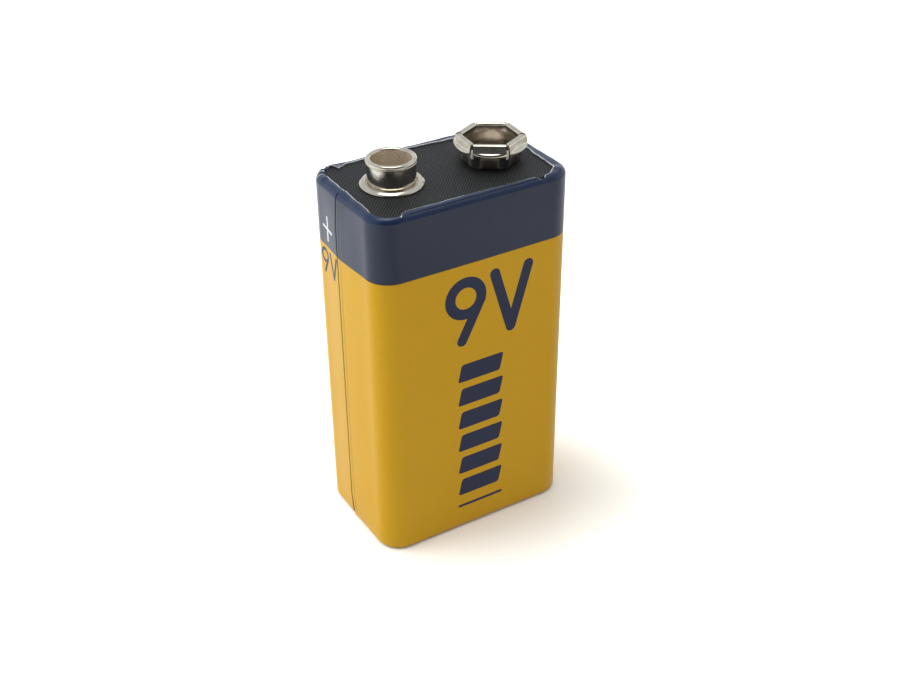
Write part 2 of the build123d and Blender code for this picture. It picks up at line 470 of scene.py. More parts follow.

# %% [markdown]
# The table is exposed so brightly in the picture that only the shadow close to the battery shows.
# More light would wash out the battery too. Instead the paint answers the camera more strongly
# than it lights the object, so it clips to white. Beside the battery that extra is held back,
# least on the window's side, so a painted shadow deepens the real one there. Reflections see two
# glowing strips on the table instead, one towards the window and one to the right, which stand
# for the brighter parts of the real table.

# %% Table
window_side = Vector((-0.57, 0.80, 0.18)).normalized()
right_side = Vector((0.8, -0.6, 0))
table_paint_colour = (0.76, 0.75, 0.725, 1)
table_boost = (0.44, 0.445, 0.455, 1)
no_glow = (0.0, 0.0, 0.0)
window_glow = (0.56, 0.60, 0.66)
right_glow = (0.30, 0.31, 0.33)

# Near and far edge of each strip: distance from the battery's middle and softness, in metres
window_strip = ((0.03, 0.15), (0.13, 0.06))
right_strip = ((0.068, 0.03), (0.13, 0.06))

# The extra starts at a share beside the battery and is whole at this distance. The window's side
# has a larger share, past a soft edge through the battery's middle
shadow_reach = 24 * MM
shadow_lift = 0.42
window_lift = 0.6
window_edge = (0.0, 0.03)


def strip_mask(writer, side, place, near, far):
    """One on a strip of the table across a direction, and zero before and past it."""
    return towards(writer, side, place, *near) * (1 - towards(writer, side, place, *far))


def table_finish(writer):
    """White paint, which shows as pure white except in the object's shadow."""
    to_camera, to_mirror = ray_kinds(writer)
    paint = writer.add("ShaderNodeBsdfDiffuse", {}, {"Color": table_paint_colour})
    more = writer.add("ShaderNodeBsdfDiffuse", {}, {"Color": table_boost})
    twice = writer.add("ShaderNodeAddShader", {}, [more, more])
    place = writer.object_place()
    on_window_strip = strip_mask(writer, window_side, place, *window_strip)
    on_right_strip = strip_mask(writer, right_side, place, *right_strip)
    glow = writer.blend(on_window_strip, no_glow, window_glow)
    glow = writer.blend(on_right_strip, glow, right_glow)
    shine = writer.add("ShaderNodeEmission", {}, {"Color": glow, "Strength": 1.0})
    dark = writer.add("ShaderNodeEmission", {}, {"Color": (0, 0, 0, 1), "Strength": 0.0})
    split = writer.add("ShaderNodeSeparateXYZ", {}, [place])
    # Painted shadow: the extra white is held back near the battery, by the distance from its sides
    gap_x = (abs(split) - case_half_length).most(0)
    gap_y = (abs(split.out("Y")) - case_half_width).most(0)
    beyond = (gap_x * gap_x + gap_y * gap_y).math("SQRT") / shadow_reach + shadow_lift
    on_window_side = towards(writer, window_side, place, *window_edge)
    beyond = (beyond + on_window_side * window_lift).clamped()
    lifted = writer.add("ShaderNodeMixShader", {}, [beyond, dark, twice])
    mirrored = writer.add("ShaderNodeMixShader", {}, [to_mirror, dark, shine])
    seen = writer.add("ShaderNodeMixShader", {}, [to_camera, mirrored, lifted])
    return writer.add("ShaderNodeAddShader", {}, [paint, seen])


table_paint = bpy.data.materials.new("table_paint")
table_paint.use_nodes = True
table_paint.node_tree.nodes.clear()
table_nodes = Nodes(table_paint.node_tree)
table_nodes.add("ShaderNodeOutputMaterial", {}, {"Surface": table_finish(table_nodes)})
half_table = 1.5
table_corners = [(-1, -1), (1, -1), (1, 1), (-1, 1)]
table = piece(
    "table", [(x * half_table, y * half_table, 0) for x, y in table_corners], [(0, 1, 2, 3)]
)
table.data.materials.append(table_paint)

# %% [markdown]
# The jacket is one strip of printed tinplate, wrapped round the pack and lapped on a narrow side.
# A press rolls its upper edge over the board. The roll could be a bevel on a box, but the real
# rim is uneven: the corners are cut back, tabs end in small notches, and the cut edge wanders. So
# the sheet is built from its section, which is carried round the perimeter while the lip's reach
# changes on the way.

# %% Walk round the jacket
straight_length = 2 * (case_half_length - corner_radius)
straight_width = 2 * (case_half_width - corner_radius)
corner_run = math.pi / 2 * corner_radius

# The two ends of the sheet meet at the lap, a hair apart. The last stretch before it lies in a
# groove, and at the foot a slightly longer one opens into a wedge
seam_y = 0.7 * MM
seam_gap = 0.02 * MM
lap_groove = 0.27 * MM
foot_wedge = 0.5 * MM

# Each side: name, its first point, and its direction. The walk starts at the lap and goes round
# with the jacket on its left: left side, front, right side, back and the rest of the left side.
inner_x = case_half_length - corner_radius
inner_y = case_half_width - corner_radius
walk = [
    ("left", Vector((-case_half_length, seam_y)), Vector((0, -1)), seam_y + inner_y),
    ("front", Vector((-inner_x, -case_half_width)), Vector((1, 0)), straight_length),
    ("right", Vector((case_half_length, -inner_y)), Vector((0, 1)), straight_width),
    ("back", Vector((inner_x, case_half_width)), Vector((-1, 0)), straight_length),
    ("left_end", Vector((-case_half_length, inner_y)), Vector((0, -1)), inner_y - seam_y),
]
perimeter = 2 * (straight_length + straight_width) + 4 * corner_run
print("perimeter:", round(perimeter / MM, 1), "mm")

# %% [markdown]
# A place on the walk is known by its run, which is how far it lies from the lap. Stations stand
# along it, each with its place, the direction outwards and its run. They are close together, so
# that a notch in the rim keeps its corners. A second helper gives the run of a place that is
# named by its side.

# %% Stations on the walk
station_gap = 0.16 * MM


def stations():
    """Points round the jacket as (place, outward direction, run)."""
    found = []
    run = 0.0
    for index, (side, start, along, length) in enumerate(walk):
        outward = Vector((along.y, -along.x))
        count = math.ceil(length / station_gap)
        last = side == "left_end"
        reach = length - foot_wedge - seam_gap if last else length
        for step in range(count + 1):
            place = start + along * reach * step / count
            found.append((place, outward, run + reach * step / count))
        if last:
            for gap in (foot_wedge, lap_groove, seam_gap):
                found.append((start + along * (length - gap), outward, run + length - gap))
            break
        run += length
        centre = start + along * length - outward * corner_radius
        turns = math.ceil(corner_run / station_gap)
        for step in range(1, turns):
            angle = math.pi / 2 * step / turns
            way = outward * math.cos(angle) + along * math.sin(angle)
            found.append((centre + way * corner_radius, way, run + corner_run * step / turns))
        run += corner_run
    return found


def run_at(side, place):
    """How far round a place is, from its side and its x or y in millimetres."""
    run = 0.0
    for name, start, along, length in walk:
        if name == side:
            return run + (Vector((place * MM, place * MM)) - start).dot(along)
        run += length + corner_run
    raise ValueError(side)


ring = stations()
print("stations:", len(ring))

# %% [markdown]
# The lip's reach is a short list of places that can be seen in the picture: side, where on it,
# and how far in the sheet comes, all in millimetres. The reach runs smoothly from one to the
# next.

# %% Reach of the rolled lip
lip_places = [
    ("left", 0.7, 1.12),
    ("left", -4.4, 1.07),
    ("left", -5.1, 0.95),
    ("front", -11.5, 0.72),
    ("front", -9.95, 0.62),
    ("front", -9.6, 0.42),
    ("front", -9.1, 0.95),
    ("front", -8.3, 1.34),
    ("front", -6.6, 1.2),
    ("front", 0.3, 1.17),
    ("front", 5.0, 1.0),
    ("front", 7.8, 0.84),
    ("front", 8.15, 0.3),
    ("front", 8.6, 0.32),
    ("front", 9.2, 0.85),
    ("front", 11.4, 1.45),
    ("right", -4.9, 1.62),
    ("right", -2.0, 1.5),
    ("right", -0.3, 1.25),
    ("right", 4.8, 1.2),
    ("back", 11.6, 0.95),
    ("back", 9.2, 1.25),
    ("back", 6.0, 1.48),
    ("back", 0.3, 1.1),
    ("back", -6.3, 1.0),
    ("back", -8.3, 1.1),
    ("back", -9.3, 1.5),
    ("back", -9.75, 1.85),
    ("back", -9.92, 0.72),
    ("back", -11.8, 0.9),
    ("left_end", 5.0, 1.15),
    ("left_end", 0.76, 1.12),
]
lip_runs = [(run_at(side, place), reach * MM) for side, place, reach in lip_places]


def lip_reach(run):
    """How far in the lip comes at a place round the jacket."""
    for (start, first), (end, second) in zip(lip_runs, lip_runs[1:]):
        if start <= run <= end:
            return first + (second - first) * smooth_step((run - start) / (end - start))
    return lip_runs[0][1] if run < lip_runs[0][0] else lip_runs[-1][1]


lip_sizes = [reach for _, _, reach in lip_places]
print("lip reaches", len(lip_places), "places, from", min(lip_sizes), "to", max(lip_sizes), "mm")

# %% [markdown]
# No press leaves an edge quite even. Noise could roughen it, but its ends would not meet at the
# lap. So the cut edge wanders by a few waves that close on themselves after one lap of the
# jacket.

# %% Waves of the rim
edge_unevenness = 0.02 * MM


def ripple(run, waves, shift):
    """A wave that closes on itself after one lap of the jacket."""
    return math.sin(2 * math.pi * (waves * run / perimeter) + shift)


def edge_wander(run):
    """The small unevenness of the cut edge."""
    waves = ripple(run, 23, 0.4) + 0.8 * ripple(run, 41, 1.9) + 0.6 * ripple(run, 67, 0.2)
    return edge_unevenness * waves


print("cut edge wanders by", round(edge_wander(0) / MM, 3), "mm at the lap")

# %% [markdown]
# Soft humps lift or sink the rim where a tab ends or a corner was gathered. The ink has cracked
# over the wrinkles of one corner, and in places the cut edge is rolled under. Each of these is
# listed by its place, because they are few and the picture shows where they lie.

# %% Dents and cracks of the rim
rim_unevenness = 0.012 * MM
edge_brightness = 0.75
edge_patchiness = 0.25
edge_fade = 0.2 * MM

# Dents where a tab ends: side, place, width and lift in millimetres
puckers = [
    ("front", -9.3, 0.5, 0.07),
    ("front", 8.3, 0.4, 0.06),
    ("back", -9.8, 0.45, 0.12),
    ("front", 12.2, 0.7, 0.05),
    ("front", -12.2, 0.9, -0.05),
    ("back", -10.5, 0.22, 0.12),
    ("back", -11.2, 0.24, -0.18),
    ("back", -11.9, 0.26, 0.14),
    ("back", -13.0, 0.35, -0.12),
    ("left_end", 5.0, 0.3, 0.06),
]

# Where the ink has cracked over a wrinkle: side, place, half width of the silver line
cracks = [
    ("back", -10.75, 0.10),
    ("back", -12.3, 0.12),
    ("back", -13.6, 0.10),
]

# Where the cut edge is rolled under and shows no metal: from one place on a side to another
hidden_edges = [
    ("left", -5.3, "front", -9.65),
    ("front", 8.2, "front", 8.9),
    ("back", -10.6, "left_end", 5.15),
]


def hump(distance, width):
    """A smooth bump of height 1 over a distance of zero."""
    share = distance / width
    return math.exp(-share * share)


def lip_lift(run):
    """How far the rolled rim is pushed up or down."""
    lift = rim_unevenness * (ripple(run, 17, 2.1) + ripple(run, 29, 0.7))
    for side, place, width, height in puckers:
        lift += height * MM * hump(run - run_at(side, place), width * MM)
    return lift


def edge_shows(run):
    """How much of the cut edge's bare metal shows, from 0 to 1."""
    shown = edge_brightness + edge_patchiness * ripple(run, 31, 0.9) * ripple(run, 12, 2.2)
    for first_side, first, last_side, last in hidden_edges:
        start, end = run_at(first_side, first), run_at(last_side, last)
        shown *= 1 - smooth_step((run - start) / edge_fade) * smooth_step((end - run) / edge_fade)
    return shown


def cracked(run):
    """How bare the ink is across the rolled rim, from 0 to 1, where it has cracked."""
    return max(hump(run - run_at(side, place), width * MM) for side, place, width in cracks)


print("dents:", len(puckers), "cracks:", len(cracks), "hidden stretches:", len(hidden_edges))

# %% [markdown]
# The section starts under the bottom edge, goes out round the bottom roll, up the wall, over the
# top roll and in to the cut edge. Its last stretch is scraped bare and droops a little. The
# inside is the same line again, moved in by the sheet's thickness.

# %% Section of the sheet
lip_steps = 4
roll_steps = 10
wall_steps = 14
rim_steps = 32
scraped_edge = 0.14 * MM
edge_droop = 0.05 * MM


def rim_point(along):
    """A point and outward direction of the top roll and lip, by the length along them."""
    angle = along / top_roll
    if angle < math.pi / 2:
        way = (math.cos(angle), math.sin(angle))
        return (top_roll * (1 - way[0]), case_height - top_roll * (1 - way[1])), way
    return (top_roll + along - top_roll * math.pi / 2, case_height), (0, 1)


def rim_length(reach):
    """Length of the roll and lip that brings the cut edge to a reach."""
    if reach < top_roll:
        return top_roll * math.acos(1 - reach / top_roll)
    return top_roll * math.pi / 2 + reach - top_roll


def section(reach):
    """The sheet's outer line as (inward, up, outward direction, bare, on rim) points."""
    line = []
    for step in range(lip_steps):
        inward = bottom_reach - (bottom_reach - bottom_roll) * step / lip_steps
        line.append((inward, 0, (0, -1), step == 0, 0))
    for step in range(roll_steps + 1):
        angle = math.pi / 2 * step / roll_steps
        way = (math.sin(angle), -math.cos(angle))
        line.append((bottom_roll * (1 - way[0]), bottom_roll * (1 + way[1]), way, 0, 0))
    rise = case_height - top_roll - bottom_roll
    for step in range(1, wall_steps):
        line.append((0, bottom_roll + rise * step / wall_steps, (1, 0), 0, 0))
    length = rim_length(reach)
    for step in range(rim_steps + 1):
        (inward, height), way = rim_point((length - scraped_edge) * step / rim_steps)
        line.append((inward, height, way, step == rim_steps, step / rim_steps))
    (inward, height), way = rim_point(length)
    line.append((inward, height - edge_droop, way, 1, 1))
    return line


print("points in one section:", len(section(lip_runs[0][1])))

# %% [markdown]
# The wall isn't flat. The pack pushes each side out a little, and most on the narrow sides. The
# sheet's outer end stands up where it lies on the inner one, with a faint line along it, and the
# groove and wedge mark where it stops. On the long sides a fold runs along the rim. All of these
# are painted dark as shade, so each point also gets a number for how deep in one it lies.

# %% Crowns, lap and folds
crown_fade = 3 * MM
side_crown = 0.28 * MM
front_crown = 0.06 * MM
squarely = 0.99
lap_width = 2.2 * MM
lap_rise = 0.06 * MM
lap_line = 0.55 * MM
lap_line_width = 0.08 * MM
lap_line_depth = 0.02 * MM
lap_shade_width = 0.1 * MM
lap_shade = 0.35
groove_depth = 0.02 * MM
wedge_top = 5 * MM
wedge_fade = 4 * MM
fold_place = 0.44 * MM
fold_width = 0.08 * MM
fold_depth = 0.05 * MM
fold_spread = 1.6

# The stations of the groove and the wedge lie exactly at their ends, so the tests reach a little
# past
slack = 1.01

# Where the fold starts and ends on the long sides, in millimetres
folded_sides = [("front", -9.2, 8.6), ("back", 9.0, -8.8)]


def wall_push(place, outward, run, height):
    """How far the wall stands out: the crown of each side and the lap of the sheet."""
    fade = smooth_step(height / crown_fade) * smooth_step((case_height - height) / crown_fade)
    narrow = abs(outward.x) > squarely
    across = place.y / inner_y if narrow else place.x / inner_x
    crown = side_crown if narrow else front_crown
    flat = max(abs(outward.x), abs(outward.y)) > squarely
    push = crown * fade * max(1 - across * across, 0) ** 2 if flat else 0
    if run < lap_width:
        push += lap_rise * smooth_step((lap_width - run) / lap_width)
        push -= lap_line_depth * hump(run - lap_line, lap_line_width)
    if perimeter - run < slack * lap_groove:
        push -= groove_depth
    return push


def long_side(run):
    """One along the front and back, where the rim's fold can be seen, fading at their ends."""
    share = 0.0
    for side, start, end in folded_sides:
        first, last = run_at(side, start), run_at(side, end)
        share += smooth_step((run - first) / MM) * smooth_step((last - run) / MM)
    return share


def crease_shade_at(run, inward, height, rim):
    """How deep in a fold or in the groove beside the lap a point lies, from 0 to 1."""
    groove = 1.0 if perimeter - run < slack * lap_groove and rim < 0.5 else 0.0
    if perimeter - run < slack * foot_wedge:
        groove = max(groove, smooth_step((wedge_top - height) / wedge_fade))
    faint = lap_shade * hump(run - lap_line, lap_shade_width)
    fold = long_side(run) * hump(inward - fold_place, fold_width) if rim else 0
    return max(groove, faint, fold)


print("narrow sides stand out up to", round(side_crown / MM, 2), "mm")

# %% [markdown]
# Now the section is carried round the walk. Each station gives one closed row, the outer line
# first and the inner line back, and the rows are joined into one closed sheet. Each point also
# gets how bare and how creased it is, as attributes that the finish reads.

# %% Build the jacket
lift_sharpness = 1.6
crack_sharpness = 4


def jacket_mesh():
    """The whole sheet as one closed mesh, with how bare and how creased each of its points is."""
    points = []
    bare = []
    crease_shade = []
    for place, outward, run in ring:
        line = section(lip_reach(run) + edge_wander(run))
        lift = lip_lift(run)
        fold_share = long_side(run)
        shown = edge_shows(run)
        outside = []
        inside = []
        for inward, height, way, _, rim in line:
            push = wall_push(place, outward, run, height)
            raised = folded = 0
            if rim:
                raised = lift * smooth_step(rim * lift_sharpness)
                dip = hump(inward - fold_place, fold_spread * fold_width)
                folded = fold_depth * dip * fold_share
            across = push * max(way[0], 0) - inward - folded * way[0]
            tall = height + raised + push * max(way[1], 0) - folded * way[1]
            outside.append((*(place + outward * across), tall))
            across -= sheet * way[0]
            inside.append((*(place + outward * across), tall - sheet * way[1]))
        points += outside + inside[::-1]
        split_ink = cracked(run)
        for inward, height, _, scraped, rim in line:
            worn = split_ink * smooth_step(rim * crack_sharpness)
            bare.append(max(scraped * shown, worn) if rim else float(scraped))
            crease_shade.append(crease_shade_at(run, inward, height, rim))
        bare += [shown] * len(inside)
        crease_shade += [0.0] * len(inside)
    return points, bare, crease_shade


jacket_points, jacket_bare, jacket_crease_shade = jacket_mesh()
jacket_row = len(jacket_points) // len(ring)
jacket_faces = grid_faces(len(ring), jacket_row, True, True)
jacket = piece("jacket_sheet", jacket_points, jacket_faces, sharp_angle=60)
for layer_name, values in (("bare", jacket_bare), ("crease_shade", jacket_crease_shade)):
    layer = jacket.data.attributes.new(layer_name, "FLOAT", "POINT")
    layer.data.foreach_set("value", values)
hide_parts("jacket")
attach(jacket, "root")

# %% [markdown]
# The print is three flat inks under clear varnish: yellow below, dark blue above, and small
# marks. The marks are drawn from distances: a stroke is every point nearer to a line than half
# the pen's width, and an arc is every point near a circle. That keeps their edges sharp at any
# zoom. The polarity signs and the voltage are general marks, and the gauge on the front is a
# plain pattern of bars.

# %% Drawing with distances
ink_softness = 0.035 * MM


def inked(distance, half_width):
    """One inside a line of the given half width, zero outside."""
    return ((half_width - distance) / ink_softness + 0.5).clamped()


def stroke(across, tall, start, end):
    """Distance from a straight stroke between two points, given in millimetres."""
    x0, y0 = start[0] * MM, start[1] * MM
    dx, dy = end[0] * MM - x0, end[1] * MM - y0
    square = dx * dx + dy * dy
    from_x, from_y = across - x0, tall - y0
    share = ((from_x * dx + from_y * dy) / square).clamped()
    gap_x, gap_y = from_x - share * dx, from_y - share * dy
    return (gap_x * gap_x + gap_y * gap_y).math("SQRT")


def circle(across, tall, centre, radius):
    """Distance from a circle's line, given in millimetres."""
    gap_x, gap_y = across - centre[0] * MM, tall - centre[1] * MM
    return abs((gap_x * gap_x + gap_y * gap_y).math("SQRT") - radius * MM)


def bar(across, tall, centre, half_size, corner, lean=0):
    """Distance outside a leaning bar with round corners, in millimetres. It is negative inside."""
    leaning = across - centre[0] * MM - (tall - centre[1] * MM) * lean
    gap_x = abs(leaning) - (half_size[0] - corner) * MM
    gap_y = abs(tall - centre[1] * MM) - (half_size[1] - corner) * MM
    out_x, out_y = gap_x.most(0), gap_y.most(0)
    return (out_x * out_x + out_y * out_y).math("SQRT") + gap_x.most(gap_y).least(0) - corner * MM


def voltage_mark(across, tall, corner, size, pen):
    """The figure nine and the letter for volts, as one mask. `size` is their height."""
    x, z = corner
    bowl = 0.27 * size
    nine = circle(across, tall, (x + bowl, z + size - bowl), bowl)
    tail = stroke(across, tall, (x + 1.97 * bowl, z + size - 1.3 * bowl), (x + 0.75 * bowl, z))
    left = x + 2.0 * bowl + 0.24 * size
    foot = left + 0.3 * size
    down = stroke(across, tall, (left, z + size), (foot, z))
    back_up = stroke(across, tall, (foot, z), (foot + 0.3 * size, z + size))
    return inked(nine.least(tail).least(down.least(back_up)), pen * MM / 2)


print("an ink's edge is", round(ink_softness / MM, 3), "mm soft")

# %% [markdown]
# The marks sit on different sides of the jacket, and object coordinates tell the sides apart: the
# front is where y is lowest, the left side where x is lowest. The two fields overlap a little
# where they meet, and that leaves a thin darker line. On the rim the dark blue is a little bluer.

# %% Inks and marks
yellow_ink = (0.76, 0.42, 0.002)
blue_ink = (0.014, 0.024, 0.062)
rim_ink = (0.010, 0.026, 0.078)
mark_ink = (0.018, 0.026, 0.075)
overlap_ink = (0.018, 0.014, 0.012)
white_ink = (0.80, 0.82, 0.86)
colour_line = 37.53 * MM
overlap_half_width = 0.055 * MM
overlap_strength = 0.6
rim_line = case_height - 1.0 * MM
rim_fade = 0.5 * MM
side_depth = 0.4 * MM

# The signs are strokes from point to point. A voltage mark has its lower left corner, its height
# and its pen's width. All are in millimetres
plus_strokes = [((-4.6, 39.95), (-2.25, 39.75)), ((-3.45, 38.4), (-3.4, 41.35))]
minus_stroke = ((-1.25, 39.9), (1.25, 39.9))
sign_half_pen = 0.17 * MM
side_voltage = ((-5.35, 33.95), 2.9, 0.42)
front_voltage = ((-3.9, 27.6), 7.6, 1.35)

# The gauge is a stack of leaning bars over a base line, each with its half size and corner radius
gauge_middle = 0.2
gauge_rows = 6
gauge_low = 6.4
gauge_pitch = 3.35
gauge_bar = ((2.9, 1.2), 0.35)
gauge_lean = 0.22
base_line_height = 3.5
base_line = ((3.2, 0.2), 0.19)


def print_colour(writer, x, y, z):
    """The inks over the whole jacket, and how far a point is in the dark band and on the rim."""
    front = y < -(case_half_width - side_depth)
    left = x < -(case_half_length - side_depth)
    right = x > case_half_length - side_depth
    band = ((z - colour_line) / ink_softness + 0.5).clamped()
    from_left = -y
    plus = stroke(from_left, z, *plus_strokes[0]).least(stroke(from_left, z, *plus_strokes[1]))
    minus = stroke(y, z, *minus_stroke)
    white_marks = inked(plus, sign_half_pen) * left + inked(minus, sign_half_pen) * right
    side_mark = voltage_mark(from_left, z, *side_voltage) * left
    gauge = inked(bar(x, z, (gauge_middle, base_line_height), *base_line), 0)
    for row in range(gauge_rows):
        centre = (gauge_middle, gauge_low + gauge_pitch * row)
        gauge = gauge.most(inked(bar(x, z, centre, *gauge_bar, gauge_lean), 0))
    front_mark = gauge.most(voltage_mark(x, z, *front_voltage)) * front
    rim = ((z - rim_line) / rim_fade).clamped()
    overlap = inked(abs(z - colour_line), overlap_half_width) * overlap_strength
    ground = writer.blend(band, yellow_ink, writer.blend(rim, blue_ink, rim_ink))
    ground = writer.blend(overlap, ground, overlap_ink)
    marked = writer.blend(side_mark.most(front_mark), ground, mark_ink)
    return writer.blend(white_marks, marked, white_ink), band, rim


gauge_top = gauge_low + gauge_pitch * (gauge_rows - 1) + gauge_bar[0][1]
print("gauge reaches up to", round(gauge_top, 2), "mm")

# %% [markdown]
# Varnish hides the metal's grain, so most of the finish is in its sheen: a soft orange-peel
# relief, faint smears and a few specks of dust. Creases are painted dark as shade, and a painted
# shadow darkens the sheet just above the table. The cut edge and the inside are bare tin, with the
# grain of the rolling mill.

# %% Printed tinplate
dust_colour = (0.16, 0.11, 0.05)
dust_size = 0.045
dusty_place = 0.62
# Painted shade in the creases, the lap groove and the rim's fold
crease_shade_colour = (0.004, 0.006, 0.012)
# Painted shadow where the sheet meets the table: its colour, top and soft edge
contact_shadow_colour = (0.10, 0.062, 0.012)
contact_shadow_top = 0.5 * MM
contact_shadow_fade = 0.35 * MM
least_bare = 0.35
peel_depth = 0.012 * MM


def tinplate_finish(writer):
    """Inks and varnish outside, bare tin on the cut edge and inside."""
    place = writer.object_place()
    split = writer.add("ShaderNodeSeparateXYZ", {}, [place])
    x, y, z = split, split.out("Y"), split.out("Z")
    bare = writer.add("ShaderNodeAttribute", {"attribute_name": "bare"}).out("Fac")
    bare = ((bare - least_bare) * 3).clamped()
    inks, band, rim = print_colour(writer, x, y, z)
    tone = writer.noise(place, 900, 4)
    cloud = writer.noise(place, 120, 2)
    shade = writer.ramp(tone * 0.5 + cloud * 0.5, [(0.3, (0.955, 0.955, 0.955)), (0.7, (1, 1, 1))])
    mottled = writer.add(
        "ShaderNodeMix",
        {"data_type": "RGBA", "blend_type": "MULTIPLY"},
        {0: 1.0, 6: inks, 7: shade},
    )
    speck = writer.add("ShaderNodeTexVoronoi", {}, {"Vector": place, "Scale": 260.0})
    dust = (1 - speck / dust_size).clamped() * (writer.noise(place, 75, 1) > dusty_place)
    crease_shade = writer.add("ShaderNodeAttribute", {"attribute_name": "crease_shade"}).out("Fac")
    worn = writer.blend(dust * 0.55, mottled, dust_colour)
    # Painted shade in the creases, the lap groove and the rim's fold
    worn = writer.blend(crease_shade.clamped() * 0.85, worn, crease_shade_colour)
    # Painted shadow on the sheet just above the table
    contact_shadow = ((contact_shadow_top - z) / contact_shadow_fade).clamped() * 0.55
    worn = writer.blend(contact_shadow, worn, contact_shadow_colour)
    grain = writer.noise(writer.stretched(place, (1, 1, 0.08)), 14000, 2)
    tin = writer.ramp(grain, [(0.2, (0.58, 0.60, 0.61)), (0.8, (0.84, 0.86, 0.86))])
    smear = writer.noise(writer.stretched(place, (1, 1, 0.35), (0.4, 0, 0.3)), 260, 3)
    sheen = 0.26 + smear * 0.12 - band * 0.05
    peel = writer.noise(place, 2600, 2) * 0.7 + writer.noise(place, 520, 1) * 0.3
    varnish = writer.bump(peel, peel_depth, 0.35)
    return {
        "Base Color": writer.blend(bare, worn, tin),
        "Metallic": bare,
        "Roughness": sheen + bare * 0.04 + crease_shade * 0.6,
        "Coat Weight": (band * 0.25 + rim * 0.15) * (1 - bare) * (1 - crease_shade).clamped(),
        "Normal": varnish,
    }


tinplate = material(
    "printed_tinplate", tinplate_finish, specular_ior_level=0.3, coat_roughness=0.16
)
jacket.data.materials.append(tinplate)

# %% [markdown]
# What repeats here, the board's ribs and the socket's petals and burrs, is made by Geometry
# Nodes. A tree has named inputs for its sizes, and ends by making its copies real and giving them
# their material. Its result is kept as a plain mesh, so the modifier can go.

# %% Helpers for Geometry Nodes
def new_geometry_tree(name, inputs, surface):
    """A Geometry Nodes tree with named number inputs, and a function that writes its end."""
    tree = bpy.data.node_groups.new(name, "GeometryNodeTree")
    tree.interface.new_socket("Geometry", in_out="INPUT", socket_type="NodeSocketGeometry")
    tree.interface.new_socket("Geometry", in_out="OUTPUT", socket_type="NodeSocketGeometry")
    for label in inputs:
        tree.interface.new_socket(label, in_out="INPUT", socket_type="NodeSocketFloat")
    writer = Nodes(tree)
    given = writer.add("NodeGroupInput")

    def close(geometry):
        real = writer.add("GeometryNodeRealizeInstances", {}, {0: geometry})
        dressed = writer.add(
            "GeometryNodeSetMaterial", {}, {"Geometry": real, "Material": surface}
        )
        writer.add("NodeGroupOutput", {}, {0: dressed})

    return tree, writer, given, close


def grown(name, tree, inputs, start_mesh=None):
    """Runs a Geometry Nodes tree on a new object and keeps its result as a plain mesh."""
    holder = bpy.data.objects.new(name, start_mesh or bpy.data.meshes.new(name + "_start"))
    bpy.context.scene.collection.objects.link(holder)
    modifier = holder.modifiers.new("grow", "NODES")
    modifier.node_group = tree
    for socket in tree.interface.items_tree:
        if socket.in_out == "INPUT" and socket.name in inputs:
            modifier[socket.identifier] = inputs[socket.name]
    graph = bpy.context.evaluated_depsgraph_get()
    result = bpy.data.meshes.new_from_object(holder.evaluated_get(graph))
    holder.modifiers.clear()
    holder.data = result
    finish_mesh(result)
    print(name, "faces:", len(result.polygons))
    return holder


# %% [markdown]
# The board is black fibre, pressed with fine slanting ribs that show as a sheen from one side.
# Bump alone would vanish at a low angle, so each rib is a real low ridge, a flattened rod half
# sunk in the board. One stands on each point of a row, and ends where it first meets the board's
# long sides, its short sides or its cut corners.

# %% Ribs of the board
rib_inputs = {
    "Pitch": 0.3 * MM,
    "Width": 0.17 * MM,
    "Height": 0.035 * MM,
    "Half Length": 12.0 * MM,
    "Half Width": 7.6 * MM,
    "Corner Reach": 18.5 * MM,
    "Angle": math.radians(48),
    "Level": board_top,
}
rib_half_count = 43
rib_sides = 10
shortest_rib = MM


def rib_tree(surface):
    """Low ridges side by side, each clipped to the board's outline."""
    tree, writer, given, close = new_geometry_tree("rib_rows", rib_inputs, surface)
    count = 2 * rib_half_count + 1
    cosine = given.out("Angle").math("COSINE")
    sine = given.out("Angle").math("SINE")
    row = writer.add("GeometryNodeInputIndex") - rib_half_count
    offset = row * given.out("Pitch")
    base_x, base_y = -(offset * sine), offset * cosine
    ends = []
    for wide, tall, reach in ((1, 0, "Half Length"), (0, 1, "Half Width"), (1, 1, "Corner Reach")):
        slope = cosine * wide + sine * tall
        start = base_x * wide + base_y * tall
        ends.append(
            ((-(given.out(reach)) - start) / slope, (given.out(reach) - start) / slope)
        )
    low = ends[0][0].most(ends[1][0]).most(ends[2][0])
    high = ends[0][1].least(ends[1][1]).least(ends[2][1])
    length = (high - low).most(0)
    middle = (high + low) / 2
    x = base_x + middle * cosine
    y = base_y + middle * sine
    place = writer.add("ShaderNodeCombineXYZ", {}, [x, y, given.out("Level")])
    rows = writer.add("GeometryNodeMeshLine", {}, {"Count": count})
    placed = writer.add("GeometryNodeSetPosition", {}, {"Geometry": rows, "Position": place})
    kept = writer.add(
        "GeometryNodeDeleteGeometry", {}, {"Geometry": placed, "Selection": length < shortest_rib}
    )
    ridge = writer.add(
        "GeometryNodeMeshCylinder", {}, {"Vertices": rib_sides, "Radius": 0.5, "Depth": 1.0}
    )
    lying = writer.add(
        "GeometryNodeTransform", {}, {"Geometry": ridge, "Rotation": (0, math.pi / 2, 0)}
    )
    turn = writer.add("ShaderNodeCombineXYZ", {}, [0, 0, given.out("Angle")])
    size = writer.add(
        "ShaderNodeCombineXYZ", {}, [length, given.out("Width"), given.out("Height") * 2]
    )
    ridges = writer.add(
        "GeometryNodeInstanceOnPoints",
        {},
        {"Points": kept, "Instance": lying, "Rotation": turn, "Scale": size},
    )
    close(ridges)
    return tree


print("ribs set out, before the short ones go:", 2 * rib_half_count + 1)

# %% [markdown]
# Black fibre isn't one black: loose fibres catch the light, and the pressed ribs are paler on top
# than between. The grain is stretched along the ribs, which also breaks them into short dashes.
# Round the socket it is painted darker, as the socket's shadow on the board.

